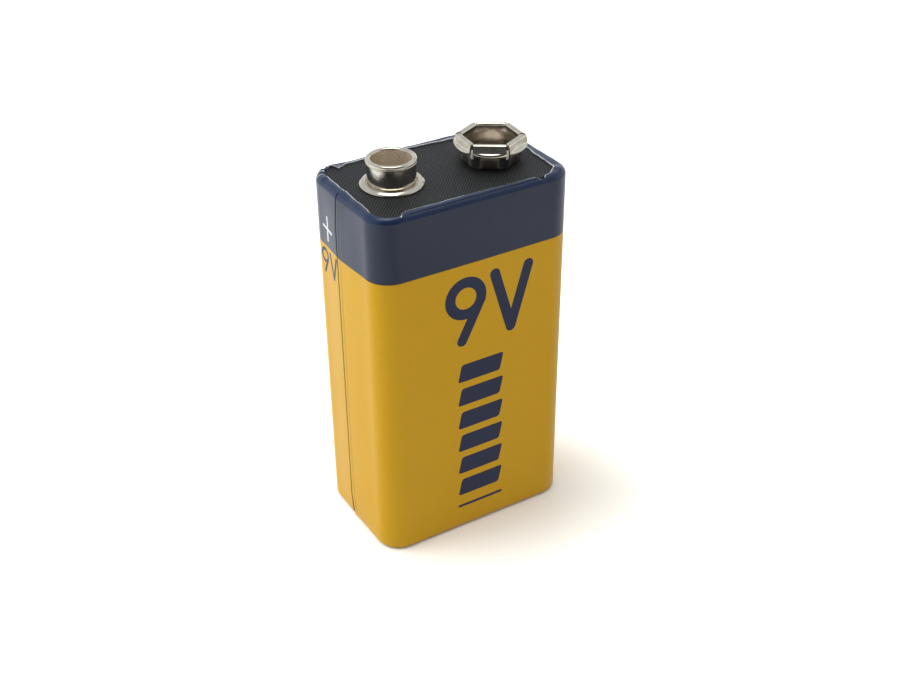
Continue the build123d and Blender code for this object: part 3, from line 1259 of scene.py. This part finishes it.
# %% Black fibre
fibre_tones = [
    (0.2, (0.003, 0.0033, 0.004)),
    (0.5, (0.008, 0.009, 0.0095)),
    (0.85, (0.034, 0.037, 0.038)),
]
pale_fibre = (0.09, 0.094, 0.1)
# Painted shadow of the socket on the board: its colour, reach, soft edge and strength
socket_shadow_colour = (0.006, 0.0062, 0.0066)
socket_shadow_radius = 5.2 * MM
socket_shadow_fade = 1.6 * MM
socket_shadow_strength = 0.7


def fibre_finish(writer):
    """Near black with a cool tint, pale fibres and a dull sheen."""
    place = writer.object_place()
    turned = writer.add(
        "ShaderNodeVectorRotate",
        {"rotation_type": "Z_AXIS"},
        {"Vector": place, "Angle": -rib_inputs["Angle"]},
    )
    dashes = writer.noise(writer.stretched(turned, (0.14, 1.0, 1.0)), 9000, 3)
    cloud = writer.noise(place, 420, 3)
    fibre = writer.noise(writer.stretched(place, (1, 0.1, 1), (0, 0, 0.3)), 7000, 2)
    pale = ((fibre - 0.66) * 9).clamped() * 0.5
    split = writer.add("ShaderNodeSeparateXYZ", {}, [place])
    crest = ((split.out("Z") - board_top) / (0.8 * rib_inputs["Height"])).clamped()
    ground = writer.ramp(dashes * 0.35 + cloud * 0.2 + crest * 0.45, fibre_tones)
    x, y = split - socket_axis.x, split.out("Y") - socket_axis.y
    # Painted shadow of the socket on the board, darkest near its axis
    pressed = ((socket_shadow_radius - (x * x + y * y).math("SQRT")) / socket_shadow_fade).clamped()
    ground = writer.blend(pressed * socket_shadow_strength, ground, socket_shadow_colour)
    return {
        "Base Color": writer.blend(pale * (1 - pressed), ground, pale_fibre),
        "Roughness": 0.40 + dashes * 0.3,
        "Normal": writer.bump(dashes, 0.02 * MM, 0.8),
    }


black_fibre = material("black_fibre", fibre_finish, specular_ior_level=0.36)
ribs = grown("board_ribs", rib_tree(black_fibre), rib_inputs)
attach(ribs, "root")

# %% [markdown]
# Both snaps are drawn from thin strip and nickel plated. Bright nickel is a warm grey mirror with
# faint lines from the drawing die. Deep inside it looks tan, because light bounces between the
# walls and the plating is thin there; that tan and the shade deep in the bore are painted into
# its colour. Under the socket's petals the foot is duller, and painted dark as shade.

# %% Bright nickel
plate_tones = [(0.3, (0.62, 0.57, 0.47)), (0.7, (0.78, 0.73, 0.63))]
bore_edge = 0.12 * MM
# Painted shade on the socket's foot under the petals: its edges, height, colour and strength
foot_edge = 0.05 * MM
foot_height = 2.1 * MM
foot_fade = 0.3 * MM
painted_foot_shade = (0.028, 0.031, 0.036)
foot_shade_strength = 0.98
snap_rise = 3.3 * MM


def nickel_finish(centre, bore, top, bore_shades, foot_radius, metal_inside):
    """Bright nickel, with painted light and shade in the bore and a duller foot painted dark."""

    def finish(writer):
        place = writer.object_place()
        split = writer.add("ShaderNodeSeparateXYZ", {}, [place])
        x, y, z = split - centre.x, split.out("Y") - centre.y, split.out("Z")
        radius = (x * x + y * y).math("SQRT")
        inside = ((bore - radius) / bore_edge).clamped() * ((top - z) / bore_edge).clamped()
        # Painted shade on the socket's foot under the petals
        foot = ((foot_radius - radius) / foot_edge).clamped() * (1 - inside)
        foot = foot * ((board_top + foot_height - z) / foot_fade).clamped()
        lines = writer.noise(writer.stretched(place, (0.3, 0.3, 3)), 2400, 2)
        cloud = writer.noise(place, 700, 3)
        plate = writer.ramp(cloud, plate_tones)
        # Painted light and shade inside the bore, by height
        bore_shading = writer.ramp((z - board_top) / snap_rise + (cloud - 0.5) * 0.2, bore_shades)
        tinted = writer.blend(inside, plate, bore_shading)
        return {
            "Base Color": writer.blend(foot * foot_shade_strength, tinted, painted_foot_shade),
            "Metallic": 1 - inside * (1 - metal_inside) - foot * 0.7,
            "Roughness": 0.13 + cloud * 0.06 + inside * 0.16 + foot * 0.26,
            "Normal": writer.bump(lines, 0.002 * MM, 0.12),
        }

    return finish


# How high the painted shade on the socket's foot reaches
print("dull foot reaches", round(foot_height / MM, 2), "mm over the board")

# %% [markdown]
# Both snaps share that finish, and differ in the width of their bore and in how it looks inside.
# The stud's is a plain tan well, painted darker towards its floor as shade. The socket's is
# painted dark as shade at its floor and near its mouth, and bright between them with painted
# bounced light.

# %% Nickel of each snap
# Painted light and shade inside each bore, by the share of the snap's height
stud_bore_shading = [(0.0, (0.50, 0.42, 0.32)), (0.5, (0.68, 0.58, 0.46)), (0.95, (0.78, 0.68, 0.55))]
socket_bore_shading = [
    (0.0, (0.20, 0.17, 0.14)),
    (0.30, (0.28, 0.24, 0.19)),
    (0.40, (0.74, 0.64, 0.51)),
    (0.70, (0.88, 0.79, 0.66)),
    (0.80, (0.30, 0.26, 0.21)),
    (0.88, (0.34, 0.30, 0.25)),
]
stud_nickel = material(
    "stud_nickel",
    nickel_finish(
        centre=stud_centre,
        bore=2.35 * MM,
        top=stud_high.z - 0.15 * MM,
        bore_shades=stud_bore_shading,
        foot_radius=0,
        metal_inside=0.35,
    ),
    metallic=1.0,
)
socket_nickel = material(
    "socket_nickel",
    nickel_finish(
        centre=socket_axis,
        bore=3.4 * MM,
        top=socket_high.z - 0.2 * MM,
        bore_shades=socket_bore_shading,
        foot_radius=3.85 * MM,
        metal_inside=0.9,
    ),
    metallic=1.0,
)

# %% [markdown]
# The positive snap is a drawn cup with a curled rim. It is turned from one closed outline: a
# broad flange with a raised round ring, a plain neck, a thin lip, a groove and the thick rolled
# rim, and then the bore and its floor. The ring is round on top so that it mirrors the lamp
# overhead.

# %% Positive snap
# Corners of the half section: outward, up and radius in millimetres
stud_corners = [
    (1.29, 0.0, 0),
    (3.62, 0.0, 0.05),
    (3.70, 0.10, 0.06),
    (3.66, 0.25, 0.14),
    (3.38, 0.46, 0.24),
    (3.10, 0.50, 0.14),
    (2.95, 0.40, 0.07),
    (2.84, 0.18, 0.04),
    (2.75, 0.18, 0.03),
    (2.79, 2.60, 0.03),
    (2.84, 2.65, 0.03),
    (2.85, 2.77, 0.03),
    (2.79, 2.83, 0.02),
    (2.79, 2.87, 0.02),
    (2.88, 2.92, 0.05),
    (2.88, 3.25, 0.25),
    (2.27, 3.25, 0.25),
    (2.27, 2.7, 0.3),
    (2.22, 0.5, 0.2),
    (1.9, 0.3, 0.1),
    (1.29, 0.3, 0),
]
stud_base = Vector((stud_centre.x, stud_centre.y, board_top))
stud = lathe("stud_cup", rounded_outline(stud_corners), stud_base, steps=128)
stud.data.materials.append(stud_nickel)
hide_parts("positive_stud")
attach(stud, "root")

# %% [markdown]
# The negative snap is a cup whose mouth was slit six times and curled outwards. All petals are
# alike, so one is drawn first. It is straight along its crest, where it was folded over a
# six-sided punch, and rounder at its swelling, where it is sprung out.

# %% Section of a petal
# In millimetres: outward, up, gap to the next petal, how round it is in plan, and how much higher
# the same line lies at the petal's ends
petal_section = [
    (2.80, 2.30, 0.30, 0.0, 0.0),
    (2.785, 2.60, 0.30, 0.0, 0.0),
    (2.80, 2.84, 0.30, 0.0, 0.0),
    (2.86, 2.98, 0.30, 0.0, 0.0),
    (2.96, 3.07, 0.30, 0.0, 0.0),
    (3.08, 3.10, 0.30, 0.0, 0.0),
    (3.20, 3.09, 0.30, 0.0, 0.0),
    (3.33, 3.06, 0.31, 0.0, 0.0),
    (3.42, 3.00, 0.33, 0.0, 0.0),
    (3.47, 2.90, 0.36, 0.0, 0.0),
    (3.51, 2.76, 0.38, 0.0, 0.02),
    (3.57, 2.58, 0.39, 0.02, 0.03),
    (3.64, 2.40, 0.40, 0.06, 0.05),
    (3.69, 2.24, 0.41, 0.12, 0.07),
    (3.75, 2.18, 0.42, 0.22, 0.08),
    (3.83, 2.14, 0.43, 0.38, 0.08),
    (3.90, 2.07, 0.45, 0.52, 0.07),
    (3.95, 1.97, 0.48, 0.62, 0.06),
    (3.97, 1.86, 0.52, 0.68, 0.04),
    (3.96, 1.76, 0.56, 0.70, 0.03),
]


def section_normals(line):
    """Outward directions of a section line, from its neighbours."""
    ways = []
    for index in range(len(line)):
        before = Vector(line[max(index - 1, 0)][:2])
        after = Vector(line[min(index + 1, len(line) - 1)][:2])
        along = (after - before).normalized()
        ways.append(Vector((-along.y, along.x)))
    return ways


petal_ways = section_normals(petal_section)
print("points in a petal's section:", len(petal_section))

# %% [markdown]
# A petal ends at the slits on both sides of it, so it gets wider as it swells. Each line of the
# section is carried across from end to end, on the outer face and back on the inner one. A plain
# extrusion would leave the cut ends open, so they are closed by faces of their own. At the end
# the doubles are merged and all faces turned outwards.

# %% One petal
petal_count = 6
petal_sheet = 0.2
petal_across = 24
settling_steps = 6
merge_distance = 0.0005 * MM


def petal_point(outward, height, gap, roundness, share):
    """A point of a petal that faces +X, by its share of the half width.

    How wide a petal is depends on how far out its end lies, and that on its width, so the two are
    brought together in a few steps.
    """
    half_turn = math.pi / petal_count
    reach = outward
    for _ in range(settling_steps):
        limit = (reach * math.sin(half_turn) - gap / 2) / math.cos(half_turn)
        arc = math.sqrt(max(outward * outward - limit * limit, 0))
        reach = outward - roundness * (outward - arc)
    lateral = limit * share
    arc_here = math.sqrt(max(outward * outward - lateral * lateral, 0))
    x = outward - roundness * (outward - arc_here)
    return Vector((x * MM, lateral * MM, height * MM))


def petal_mesh():
    """A closed petal: its outer face, its inner face and the cut edges between them."""
    points = []
    for step in range(petal_across + 1):
        share = 2 * step / petal_across - 1
        outer = []
        inner = []
        for (outward, height, gap, roundness, rise), way in zip(petal_section, petal_ways):
            height += rise * share * share
            outer.append(petal_point(outward, height, gap, roundness, share))
            inside_x = outward - way.x * petal_sheet
            inside_z = height - way.y * petal_sheet
            inner.append(petal_point(inside_x, inside_z, gap, roundness, share))
        points += outer + inner[::-1]
    row = 2 * len(petal_section)
    faces = grid_faces(petal_across + 1, row, False, True)
    last = petal_across * row
    for place in range(len(petal_section) - 1):
        other = row - 1 - place
        faces.append((place, place + 1, other - 1, other))
        faces.append((last + other, last + other - 1, last + place + 1, last + place))
    mesh = bpy.data.meshes.new("petal")
    mesh.from_pydata(points, [], faces)
    mesh.validate()
    return mesh


def recalculated(mesh):
    """Turns all faces of a closed mesh outwards."""
    work = bmesh.new()
    work.from_mesh(mesh)
    bmesh.ops.remove_doubles(work, verts=work.verts, dist=merge_distance)
    bmesh.ops.recalc_face_normals(work, faces=work.faces)
    work.to_mesh(mesh)
    work.free()
    return mesh


one_petal = recalculated(petal_mesh())
print("faces of one petal:", len(one_petal.polygons))

# %% [markdown]
# Geometry Nodes set six copies of the petal round the socket's axis. The tree takes the petal as
# its incoming geometry, so that the same tree can set anything else round that axis. In the
# picture the petals are spread a little wider than drawn, and one input does that.

# %% Six petals round the cup
petal_turn = math.radians(-4)
petal_inputs = {
    "Count": float(petal_count),
    "Turn": petal_turn,
    "Centre X": socket_axis.x,
    "Centre Y": socket_axis.y,
    "Level": board_top,
    "Spread": 1.03,
}


def petal_tree(surface):
    """Copies of the incoming mesh, turned about the socket's axis."""
    tree, writer, given, close = new_geometry_tree("petal_round", petal_inputs, surface)
    count = given.out("Count")
    points = writer.add("GeometryNodeMeshLine", {}, {"Count": count, "Offset": (0, 0, 0)})
    centre_parts = [given.out("Centre X"), given.out("Centre Y"), given.out("Level")]
    centre = writer.add("ShaderNodeCombineXYZ", {}, centre_parts)
    placed = writer.add("GeometryNodeSetPosition", {}, {"Geometry": points, "Position": centre})
    angle = writer.add("GeometryNodeInputIndex") * (2 * math.pi) / count + given.out("Turn")
    turn = writer.add("ShaderNodeCombineXYZ", {}, [0, 0, angle])
    spread = given.out("Spread")
    size = writer.add("ShaderNodeCombineXYZ", {}, [spread, spread, 1])
    petals = writer.add(
        "GeometryNodeInstanceOnPoints",
        {},
        {"Points": placed, "Instance": given, "Rotation": turn, "Scale": size},
    )
    close(petals)
    return tree


petals = grown("socket_petals", petal_tree(socket_nickel), petal_inputs, one_petal)

# %% [markdown]
# Each slit ends in a burr where the press tore the metal: a small drop under the place where two
# petals meet, painted near white as a highlight. One drop is drawn, and the same tree sets six of
# them half a step further round.

# %% Burrs between the petals
burr_reach = 3.80
burr_depth = 0.75
burr_sides = 12

# Height and half width of a burr in millimetres
burr_rows = [
    (2.50, 0.02),
    (2.42, 0.12),
    (2.22, 0.17),
    (1.94, 0.19),
    (1.66, 0.20),
    (1.42, 0.15),
    (1.32, 0.02),
]


def burr_mesh():
    """A closed upright drop that lies towards +X."""
    points = []
    for height, width in burr_rows:
        for step in range(burr_sides):
            turn = 2 * math.pi * step / burr_sides
            reach = burr_reach + burr_depth * width * math.cos(turn)
            points.append((reach * MM, width * math.sin(turn) * MM, height * MM))
    last = len(points) - burr_sides
    faces = grid_faces(len(burr_rows), burr_sides, False, True)
    faces += [tuple(range(burr_sides)), tuple(range(last, last + burr_sides))]
    mesh = bpy.data.meshes.new("burr")
    mesh.from_pydata(points, [], faces)
    mesh.validate()
    return mesh


def burr_highlight_finish(writer):
    """Torn nickel, rougher than the drawn metal and painted bright as a highlight."""
    place = writer.object_place()
    torn = writer.noise(place, 5200, 3)
    # Near white: a painted highlight on a drop that sits in the petals' shade
    tone = writer.ramp(torn, [(0.3, (0.84, 0.81, 0.74)), (0.7, (0.97, 0.95, 0.89))])
    return {
        "Base Color": tone,
        "Roughness": 0.3 + torn * 0.2,
        "Normal": writer.bump(torn, 0.01 * MM, 0.5),
    }


burr_highlight_nickel = material("burr_highlight_nickel", burr_highlight_finish, metallic=0.2)
burr_inputs = {**petal_inputs, "Turn": petal_turn + math.pi / petal_count}
burrs = grown("socket_burrs", petal_tree(burr_highlight_nickel), burr_inputs, recalculated(burr_mesh()))

# %% [markdown]
# The cup inside the petals is round at its foot and six-sided at its mouth. It is built from
# rings of a rounded hexagon, first down its outside, then round the hole of its rivet, and up its
# inside.

# %% Socket cup
cup_corner_steps = 8
cup_wall = 0.25
mouth_corner = 0.6
mouth_height = 2.4
bore_corner = 2.4
least_corner = 0.05

# Outside of the cup from the mouth down: height, half width across flats, corner radius
cup_rings = [
    (2.88, 3.09, 0.22),
    (2.60, 3.13, 0.22),
    (2.30, 3.16, 0.24),
    (1.90, 3.19, 0.30),
    (1.50, 3.20, 0.45),
    (1.20, 3.20, 0.70),
    (0.95, 3.20, 1.05),
    (0.60, 3.20, 1.40),
    (0.20, 3.20, 1.90),
    (0.05, 3.16, 2.00),
    (0.00, 3.05, 2.00),
]

# The floor: its hole from below to above, and then out to the turn of the wall
floor_rings = [
    (0.0, 1.35, 1.30),
    (0.3, 1.35, 1.30),
    (0.3, 2.55, 1.9),
    (0.36, 2.78, 1.9),
]

# The lowest rings, round the outer edge of the foot, have none inside them
foot_ring_count = 3


def hexagon_ring(height, half_width, corner, shrink=0.0):
    """A rounded six-sided ring of points, flats facing the petals."""
    half_width -= shrink
    corner = max(corner - shrink, least_corner)
    ring_points = []
    for side in range(petal_count):
        corner_angle = petal_turn + math.pi / petal_count * (2 * side + 1)
        reach = (half_width - corner) / math.cos(math.pi / petal_count)
        for step in range(cup_corner_steps + 1):
            swing = (step / cup_corner_steps - 0.5) * 2 * math.pi / petal_count
            x = reach * math.cos(corner_angle) + corner * math.cos(corner_angle + swing)
            y = reach * math.sin(corner_angle) + corner * math.sin(corner_angle + swing)
            ring_points.append(
                (socket_axis.x + x * MM, socket_axis.y + y * MM, board_top + height * MM)
            )
    return ring_points


def cup_mesh():
    """The cup's outside, its floor, and its inside, as rings joined from mouth to mouth."""
    rings = [hexagon_ring(*ring_sizes) for ring_sizes in cup_rings + floor_rings]
    for height, half_width, _ in reversed(cup_rings[:-foot_ring_count]):
        inner_corner = mouth_corner if height > mouth_height else bore_corner
        rings.append(hexagon_ring(height, half_width, inner_corner + cup_wall, cup_wall))
    points = [point for ring_points in rings for point in ring_points]
    return points, grid_faces(len(rings), len(rings[0]), True, True)


cup_points, cup_faces = cup_mesh()
cup = piece("socket_cup", cup_points, cup_faces, sharp_angle=50)
finish_mesh(recalculated(cup.data), sharp_angle=50)
cup.data.materials.append(socket_nickel)
for part in (petals, burrs, cup):
    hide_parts("negative_socket")
    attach(part, "root")

# %% [markdown]
# The rest of the battery is inside, so its solids stay and only get their own finish, with grain
# at its real scale, because the jacket can be lifted off in another picture. The cells are joined
# by rolled nickel strip, and the snaps are held by plated rivets.

# %% Strips and rivets
def strip_finish(writer):
    """Rolled nickel strip, with lines along its length and dull weld spots."""
    place = writer.object_place()
    lines = writer.noise(writer.stretched(place, (1, 0.06, 1)), 9000, 3)
    stain = writer.noise(place, 600, 3)
    tones = [(0.3, (0.50, 0.48, 0.44)), (0.7, (0.68, 0.66, 0.62))]
    tone = writer.ramp(lines * 0.6 + stain * 0.4, tones)
    return {
        "Base Color": tone,
        "Roughness": 0.24 + stain * 0.2,
        "Normal": writer.bump(lines, 0.005 * MM, 0.5),
    }


def rivet_finish(writer):
    """Plated steel with tumbling marks."""
    place = writer.object_place()
    marks = writer.noise(place, 3200, 4)
    tone = writer.ramp(marks, [(0.3, (0.55, 0.52, 0.46)), (0.7, (0.74, 0.70, 0.63))])
    return {
        "Base Color": tone,
        "Roughness": 0.2 + marks * 0.16,
        "Normal": writer.bump(marks, 0.01 * MM, 0.4),
    }


strip_nickel = material("strip_nickel", strip_finish, metallic=1.0)
rivet_steel = material("rivet_steel", rivet_finish, metallic=1.0)

# %% [markdown]
# A cell is a steel can in a thin shrunk film, which stops short of both ends. Both are one solid,
# so the finish tells them apart by height.

# %% Cells
cell_low, cell_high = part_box("cell_1")
bare_end = 0.55 * MM


def cell_finish(writer):
    """Pale shrunk film on the sides of a cell, bare steel at its ends."""
    place = writer.object_place()
    height = writer.add("ShaderNodeSeparateXYZ", {}, [place]).out("Z")
    steel = (height < cell_low.z + bare_end).most(height > cell_high.z - bare_end)
    wrinkle = writer.noise(writer.stretched(place, (1, 1, 0.2)), 1500, 3)
    film = writer.ramp(wrinkle, [(0.3, (0.60, 0.62, 0.60)), (0.7, (0.74, 0.75, 0.73))])
    drawn = writer.noise(writer.stretched(place, (1, 1, 0.05)), 8000, 2)
    can = writer.ramp(drawn, [(0.3, (0.48, 0.48, 0.47)), (0.7, (0.64, 0.64, 0.62))])
    return {
        "Base Color": writer.blend(steel, film, can),
        "Metallic": steel,
        "Roughness": 0.3 + wrinkle * 0.12,
        "Normal": writer.bump(wrinkle, 0.02 * MM, 0.3),
    }


cell_film = material("cell_film", cell_finish)
print("film ends", round(bare_end / MM, 2), "mm from each end of a cell")

# %% [markdown]
# The pack is wrapped in brown kraft card, a grey pressed card lies over and under the cells, and
# the plate at the foot is moulded black plastic. All three are dull, and differ in how their
# fibres or grain lie.

# %% Cards and plastic
def liner_finish(writer):
    """Brown kraft card with fibres and flecks."""
    place = writer.object_place()
    fibres = writer.noise(writer.stretched(place, (1, 1, 0.15)), 5000, 4)
    flecks = ((writer.noise(place, 2600, 2) - 0.68) * 8).clamped()
    kraft = writer.ramp(fibres, [(0.3, (0.36, 0.26, 0.15)), (0.7, (0.50, 0.38, 0.24))])
    return {
        "Base Color": writer.blend(flecks, kraft, (0.22, 0.15, 0.08)),
        "Roughness": 0.8 + fibres * 0.15,
        "Normal": writer.bump(fibres, 0.02 * MM, 0.6),
    }


def card_finish(writer):
    """Grey pressed fibre card."""
    place = writer.object_place()
    fibres = writer.noise(writer.stretched(place, (0.2, 1, 1), (0, 0, 0.5)), 6000, 4)
    grey = writer.ramp(fibres, [(0.3, (0.22, 0.22, 0.21)), (0.7, (0.36, 0.36, 0.35))])
    return {
        "Base Color": grey,
        "Roughness": 0.78 + fibres * 0.15,
        "Normal": writer.bump(fibres, 0.02 * MM, 0.6),
    }


def plastic_finish(writer):
    """Moulded black plastic with a fine spark-eroded grain."""
    place = writer.object_place()
    grain = writer.noise(place, 9000, 2)
    flow = writer.noise(place, 300, 2)
    black = writer.ramp(flow, [(0.3, (0.012, 0.012, 0.013)), (0.7, (0.024, 0.024, 0.026))])
    return {
        "Base Color": black,
        "Roughness": 0.45 + grain * 0.15,
        "Normal": writer.bump(grain, 0.012 * MM, 0.7),
    }


liner_card = material("liner_card", liner_finish, specular_ior_level=0.3)
grey_card = material("grey_card", card_finish, specular_ior_level=0.3)
black_plastic = material("black_plastic", plastic_finish)

# %% [markdown]
# A solid is never reshaped here. It only gets its material. The ones that new pieces stand for
# are dressed too, so that nothing is grey if one of them is shown again.

# %% Dress the solids
dress = {
    "terminal_board": black_fibre,
    "bottom_plate": black_plastic,
    "pack_liner": liner_card,
    "bottom_insulator": grey_card,
    "top_insulator": grey_card,
    "positive_rivet": rivet_steel,
    "negative_rivet": rivet_steel,
    "jacket": tinplate,
    "positive_stud": stud_nickel,
    "negative_socket": socket_nickel,
}
for name, solid in nodes.items():
    finish = dress.get(name) or (cell_film if name.startswith("cell") else strip_nickel)
    solid.data.materials.clear()
    solid.data.materials.append(finish)
print("dressed solids:", len(nodes))
